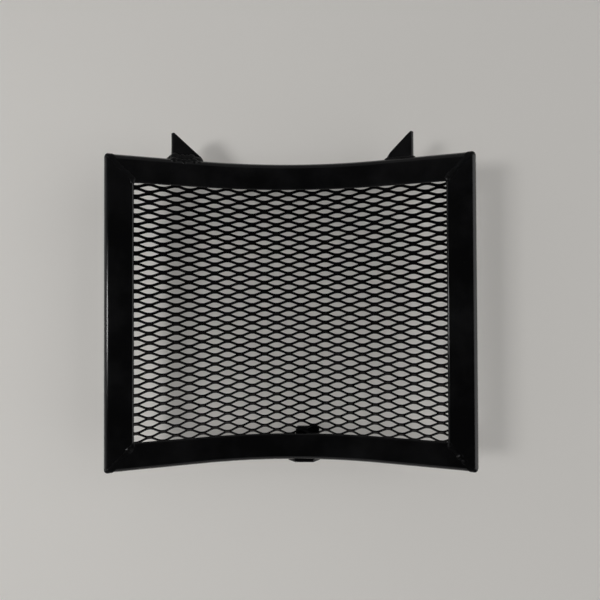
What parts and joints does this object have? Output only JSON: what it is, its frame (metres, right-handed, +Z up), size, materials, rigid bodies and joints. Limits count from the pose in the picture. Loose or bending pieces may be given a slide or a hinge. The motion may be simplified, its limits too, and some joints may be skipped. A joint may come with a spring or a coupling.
{
  "type": "motorcycle radiator guard",
  "caption": "Curved motorcycle radiator guard: a welded frame of folded sheet around a raised diamond mesh, satin black, with bolt ears on top and a hook below.",
  "frame": {"origin": "middle of the box at its lowest level, the underside of the lower hook", "axes": "+Z up as fitted, -Y to the front (the hollow side that takes the wind), +X to the right seen from the front"},
  "size_m": [0.3622, 0.063, 0.3341],
  "materials": {
    "frame_coat": "satin black powder coat",
    "weld_coat": "satin black powder coat over weld beads",
    "mesh_coat": "satin black powder coat"
  },
  "bodies": {
    "root": {"top_rail": "frame_coat", "bottom_rail": "frame_coat", "left_stile": "frame_coat", "right_stile": "frame_coat", "left_bracket": "frame_coat", "right_bracket": "frame_coat", "lower_hook": "frame_coat", "weld_top_left": "weld_coat", "weld_top_right": "weld_coat", "weld_bottom_left": "weld_coat", "weld_bottom_right": "weld_coat", "left_bracket_weld": "weld_coat", "right_bracket_weld": "weld_coat", "hook_welds": "weld_coat", "mesh_tacks": "weld_coat", "mesh_panel": "mesh_coat"}
  },
  "joints": []
}
